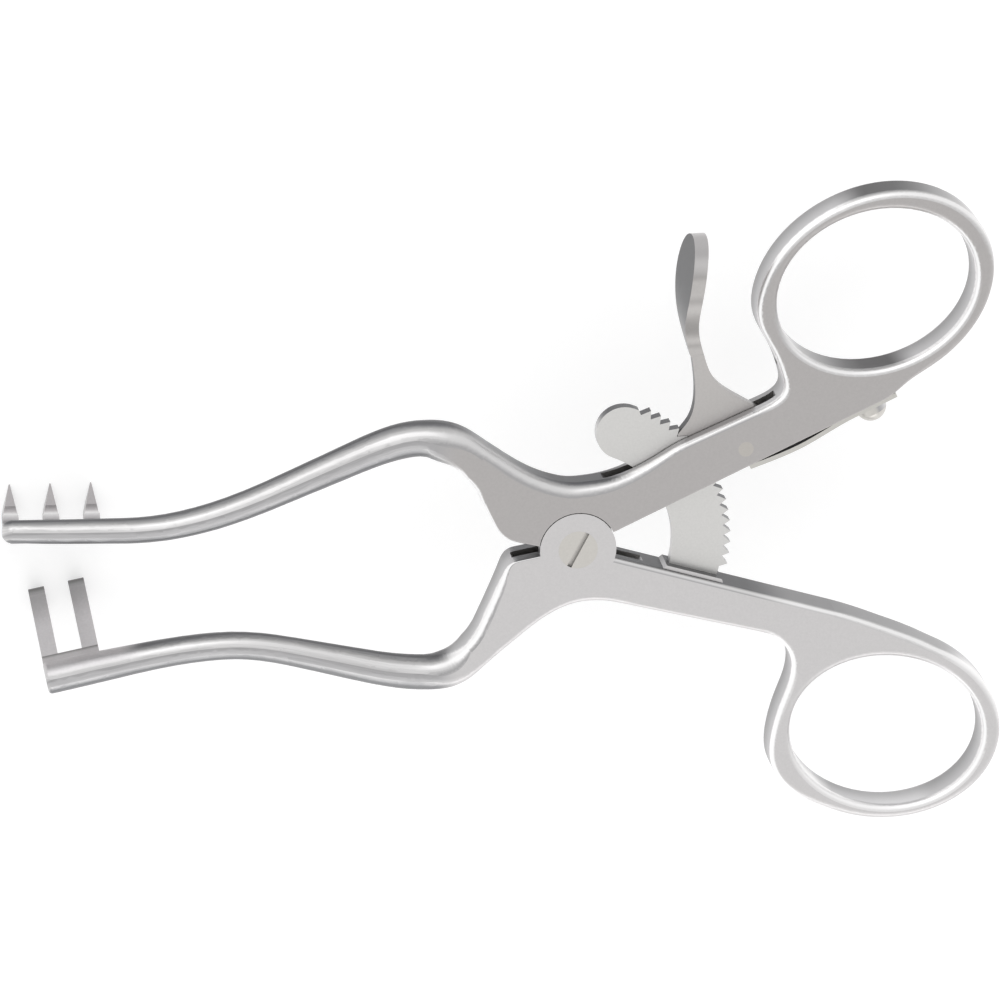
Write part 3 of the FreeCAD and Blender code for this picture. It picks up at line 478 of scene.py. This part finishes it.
def lower_prongs(tree, across):
    """Where the lower arm's prongs and the flat side of their bar are, and their painted tones."""
    place = own_place(tree)
    below = area(tree, (place["Z"], PRONG_START_MM, PRONG_FULL_MM))
    bar = area(
        tree,
        (place["X"], BAR_START_MM, BAR_FULL_MM),
        (across, BAR_SIDE_START, BAR_SIDE_FULL),
    )
    painted_tip_shade = area(tree, (place["Z"], TIPS_MM, ROOTS_MM))
    prongs = lightened(tree, tones_over(tree, across, PRONG_PAINTED_TONES), painted_tip_shade, *TIP_TO_ROOT_PAINTED_SHADE)
    either = add_node(tree, "ShaderNodeMath", {0: below, 1: bar}, operation="MAXIMUM")
    return either.outputs[0], laid_over(tree, tones_over(tree, across, BAR_PAINTED_TONES), (below, prongs))


print("the flat bar beyond", BAR_START_MM, "mm, fully beyond", BAR_FULL_MM, "mm")

# %% [markdown]
# ## Sawn slots
# The floors of the slots of the box joint and of the rack are painted dark grey, a painted shade of
# these recesses. They lie between the two faces of an arm and face straight up or down, which no
# other surface at that height does, so these bounds find them in both arms.

# %% Slots
SLOT_LOW_MM = 0.9
SLOT_HIGH_MM = 3.6
SLOT_BLEND_MM = 0.1
# Painted shade on the slot floors.
SLOT_PAINTED_SHADE = "#8A8886"


def slot_floors(tree):
    """1 on the flat floors and roofs of the slots."""
    place = own_place(tree)
    return area(
        tree,
        (upright(tree), FLAT_START, FLAT_FULL),
        (place["Z"], SLOT_LOW_MM, SLOT_LOW_MM + SLOT_BLEND_MM),
        (place["Z"], SLOT_HIGH_MM, SLOT_HIGH_MM - SLOT_BLEND_MM),
        (place["X"], ROD_FULL_MM, ROD_START_MM),
    )


print("slot floors from", SLOT_LOW_MM, "to", SLOT_HIGH_MM, "mm")

# %% [markdown]
# ## The steel of the arms
# An arm is one forging, so one material covers it. The finishes above are laid over each other in
# turn: the blasting, the painted shade in the slots, the painted highlight and shade of rims and
# rods, and the brushed prongs with their painted tones last. The brush marks are too fine to show as
# well, and are drawn at 0.3 mm.

# %% Arm steel
BRUSH_GRAIN_MM = 0.3
BRUSH_LIGHT = (0.9, 1.1)
BRUSHED_ROUGH = 0.4


def arm_steel(name, face, prong_finish):
    """The steel of an arm. prong_finish gives where its prongs are, and their tones."""
    material, tree, shader = new_material(name)
    across = facing(tree, ACROSS)
    beads = grain(tree, BLAST_GRAIN_MM)
    blasted = lightened(tree, linear(face)[:3], beads, *BEAD_LIGHT)
    # Painted highlight and shade of rims, rods and ring walls, with the rods' ground lines.
    painted_light_and_lines = painted_rims_with_lines(tree, across)
    prongs, prong_painted_tones = prong_finish(tree, across)
    # The prongs' painted highlight and shade, under the brush grain.
    brushed_painted_prongs = lightened(tree, prong_painted_tones, grain(tree, BRUSH_GRAIN_MM), *BRUSH_LIGHT)
    colour = laid_over(
        tree,
        painted_light_and_lines,
        (area(tree, (own_place(tree)["X"], ROD_FULL_MM, ROD_START_MM)), blasted),
        # The slot floors get their painted shade.
        (slot_floors(tree), linear(SLOT_PAINTED_SHADE)),
        # The rims' painted highlight and shade, laid again over the blasted faces and slots.
        (area(tree, (across, PAINTED_RIM_START, PAINTED_RIM_FULL)), painted_light_and_lines),
        blade_side_walls(tree),
        (prongs, brushed_painted_prongs),
    )
    flat = area(tree, (upright(tree), FLAT_START, FLAT_FULL))
    rough = add_node(
        tree,
        "ShaderNodeMapRange",
        {"Value": prongs, "To Min": worked_rough(tree, flat), "To Max": BRUSHED_ROUGH},
    )
    dress(tree, shader, colour, rough.outputs["Result"], beads)
    return material


print("rods are ground all over beyond", ROD_FULL_MM, "mm")

# %% [markdown]
# ## The thumb lever
# The lever is cut from plate, and its pad is turned across and polished. Its painted highlight and
# shade run over a direction of its own, with tones of its own: a painted dark reflection on the pad's
# face and a painted lighter edge. Its twisted neck is painted dimmer than its flat side, a painted
# shade.

# %% Lever tones
PAD_ACROSS = Vector((-0.8, 0.42, -0.42))
# Painted shade: the twisted neck and other parts that aren't flat are dimmed by this factor.
NECK_PAINTED_SHADE = 0.7
# Painted highlight and painted reflection over the pad's own direction.
LEVER_PAINTED_TONES = [
    (-0.3, "#B7B5B4"),
    (0.0, "#A8A6A6"),
    (0.35, "#AEACAC"),
    (0.55, "#C6C4C4"),
    (0.72, "#8A898A"),
    (0.85, "#48484A"),
    (1.0, "#505052"),
]
print(len(LEVER_PAINTED_TONES), "tones on the lever")

# %% [markdown]
# ## The finishes and who wears them
# All pieces are stainless steel and differ in how their surface was made, so each finish has its
# own tone and shares the rest. The lower arm's face is given the lighter tone.

# %% Finishes
finishes = {
    # Coarser beads leave a slightly warm mid grey.
    "upper_arm": arm_steel("blasted_stainless_steel", "#B8B5B4", upper_prongs),
    # A light grey, lighter than the upper arm's face.
    "lower_arm": arm_steel("lighter_blasted_stainless_steel", "#D2D0D0", lower_prongs),
    # Turning leaves a light face with a trace of yellow.
    "screw_steel": satin_steel("turned_stainless_steel", "#D0CDC8"),
    # Ground flush with the arm, the pin is only a little lighter and yellower.
    "pin_steel": satin_steel("ground_pin_steel", "#C0BCB7"),
    # Milled and left bright, the rack is the lightest piece.
    "rack_steel": satin_steel("milled_stainless_steel", "#D8D7D5"),
    # Polishing leaves the lever smooth; it is painted light on its flat side and painted dark on the
    # pad.
    "lever_steel": satin_steel(
        "polished_stainless_steel", "#C2BFBD", PAD_ACROSS, LEVER_PAINTED_TONES, NECK_PAINTED_SHADE
    ),
    # Cold rolling leaves the strip a smooth, light skin.
    "spring_steel": satin_steel("rolled_spring_steel", "#CDCBC6"),
}
worn_by = {
    "upper_arm": ["upper_arm"],
    "lower_arm": ["lower_arm"],
    "screw_steel": ["pivot_screw", "spring_screw"],
    "pin_steel": ["lever_pin"],
    "rack_steel": ["ratchet_rack"],
    "lever_steel": ["release_lever"],
    "spring_steel": ["leaf_spring"],
}
for finish, names in worn_by.items():
    for name in names:
        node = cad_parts[name]
        node.data.materials.clear()
        node.data.materials.append(finishes[finish])
print(len(finishes), "finishes")

# %% [markdown]
# ## Floor
# The instrument lies on white, its prongs pointing down, so the floor is just under their tips. The
# floor shows the shadow through its diffuse part. Its glow, seen only by the camera and by shiny or
# clear surfaces, lifts it to white. More light would do that too, but would bleach the steel.

# %% Floor
FLOOR_SIZE = 4.0
FLOOR_GAP_MM = 0.02
FLOOR_GLOW = 0.45
PAPER_TONE = "#D2D2D2"
PAPER_ROUGH = 0.9

bpy.ops.mesh.primitive_plane_add(size=FLOOR_SIZE, location=(0, 0, cad_low.z - FLOOR_GAP_MM * MM))
floor = bpy.context.object
floor.name = "floor"
paper, tree, shader = new_material("white_paper")
shader.inputs["Base Color"].default_value = linear(PAPER_TONE)
shader.inputs["Roughness"].default_value = PAPER_ROUGH
shader.inputs["Specular IOR Level"].default_value = 0.0
shader.inputs["Emission Color"].default_value = (1, 1, 1, 1)
rays = add_node(tree, "ShaderNodeLightPath")
seen = rays.outputs["Is Camera Ray"]
for ray in ("Is Glossy Ray", "Is Transmission Ray"):
    either = add_node(tree, "ShaderNodeMath", {0: seen, 1: rays.outputs[ray]}, operation="MAXIMUM")
    seen = either.outputs[0]
glow = add_node(tree, "ShaderNodeMath", {0: seen, 1: FLOOR_GLOW}, operation="MULTIPLY")
tree.links.new(glow.outputs[0], shader.inputs["Emission Strength"])
floor.data.materials.append(paper)
print("prong tips at", round(cad_low.z / MM, 2), "mm, floor", FLOOR_GAP_MM, "mm below")

# %% [markdown]
# ## World
# Polished steel has no look of its own, it shows the room. Such instruments are photographed in a
# tent of white cloth: white all round, and greyer overhead where the camera looks in. The world
# is that tent. Walls of real cloth round the object would do the same and take longer to render.

# %% World
OVERHEAD = Vector((0.146, -0.367, 0.919))
OPENING_EDGE_DEG = 62.0
OPENING_DEG = 18.0
TENT_WHITE = 1.02
TENT_GREY = 0.9

world = bpy.data.worlds.new("light_tent")
bpy.context.scene.world = world
world.use_nodes = True
tree = world.node_tree
tree.nodes.clear()
spot = add_node(tree, "ShaderNodeTexCoord")
towards = add_node(
    tree,
    "ShaderNodeVectorMath",
    {0: spot.outputs["Generated"], 1: OVERHEAD},
    operation="DOT_PRODUCT",
)
level = add_node(
    tree,
    "ShaderNodeMapRange",
    {
        "Value": towards.outputs["Value"],
        "From Min": math.cos(math.radians(OPENING_EDGE_DEG)),
        "From Max": math.cos(math.radians(OPENING_DEG)),
        "To Min": TENT_WHITE,
        "To Max": TENT_GREY,
    },
    interpolation_type="SMOOTHSTEP",
)
cloth = add_node(
    tree, "ShaderNodeBackground", {"Color": (1, 1, 1, 1), "Strength": level.outputs["Result"]}
)
add_node(tree, "ShaderNodeOutputWorld", {"Surface": cloth.outputs["Background"]})
print("tent from", TENT_WHITE, "down to", TENT_GREY, "overhead")

# %% [markdown]
# ## Lamps
# The tent alone gives no shadow. A weak lamp above the upper arm gives a soft one, and a second on
# the far side brightens the rims. Both are broad, as softboxes are, so that their reflections
# have no hard border.


# %% Lamps
def soft_lamp(name, place, width, height, watts):
    """A softbox at that place, turned to the object."""
    lamp = bpy.data.lights.new(name, "AREA")
    lamp.shape = "RECTANGLE"
    lamp.size = width
    lamp.size_y = height
    lamp.energy = watts
    holder = bpy.data.objects.new(name, lamp)
    bpy.context.scene.collection.objects.link(holder)
    holder.location = place
    holder.rotation_mode = "QUATERNION"
    holder.rotation_quaternion = (-Vector(place)).to_track_quat("-Z", "Y")
    print(name, watts, "W")


soft_lamp("key_softbox", place=(-0.15, 0.55, 0.45), width=0.5, height=0.35, watts=0.5)
soft_lamp("rim_softbox", place=(0.1, -0.6, 0.25), width=0.6, height=0.2, watts=0.4)

# %% [markdown]
# ## Camera
# The photograph looks down on the front, a little from the side of the upper arm and of the blades.
# The camera looks along that direction at the pivot, from 0.6 m. Its picture is shifted instead
# of turned, so that the pivot lies where the photograph has it. FRAME_WIDTH is how many metres the
# picture spans at the pivot, and the pivot's place in it is given as shares of its sides.

# %% Camera
LOOK_UP_DEG = 21.5
LOOK_LEFT_DEG = 9.0
CAMERA_DISTANCE = 0.6
PIVOT = Vector((0.0, 0.0, 2.2 * MM))
FRAME_WIDTH = 0.1063
PIVOT_ACROSS = 0.57505
PIVOT_DOWN = 0.5425
SENSOR_MM = 36.0

up_angle = math.radians(LOOK_UP_DEG)
left_angle = math.radians(LOOK_LEFT_DEG)
to_camera = Vector(
    (
        -math.sin(left_angle) * math.cos(up_angle),
        math.sin(up_angle),
        math.cos(left_angle) * math.cos(up_angle),
    )
)
right = Vector((0, 1, 0)).cross(to_camera).normalized()
upward = to_camera.cross(right)
camera = bpy.data.objects.new("camera", bpy.data.cameras.new("camera"))
bpy.context.scene.collection.objects.link(camera)
camera.matrix_world = Matrix(
    [
        [right.x, upward.x, to_camera.x, PIVOT.x + to_camera.x * CAMERA_DISTANCE],
        [right.y, upward.y, to_camera.y, PIVOT.y + to_camera.y * CAMERA_DISTANCE],
        [right.z, upward.z, to_camera.z, PIVOT.z + to_camera.z * CAMERA_DISTANCE],
        [0, 0, 0, 1],
    ]
)
camera.data.sensor_width = SENSOR_MM
camera.data.lens = SENSOR_MM * CAMERA_DISTANCE / FRAME_WIDTH
camera.data.shift_x = 0.5 - PIVOT_ACROSS
camera.data.shift_y = PIVOT_DOWN - 0.5
bpy.context.scene.camera = camera
bpy.context.scene.view_settings.view_transform = "Standard"
print("lens", round(camera.data.lens, 1), "mm")
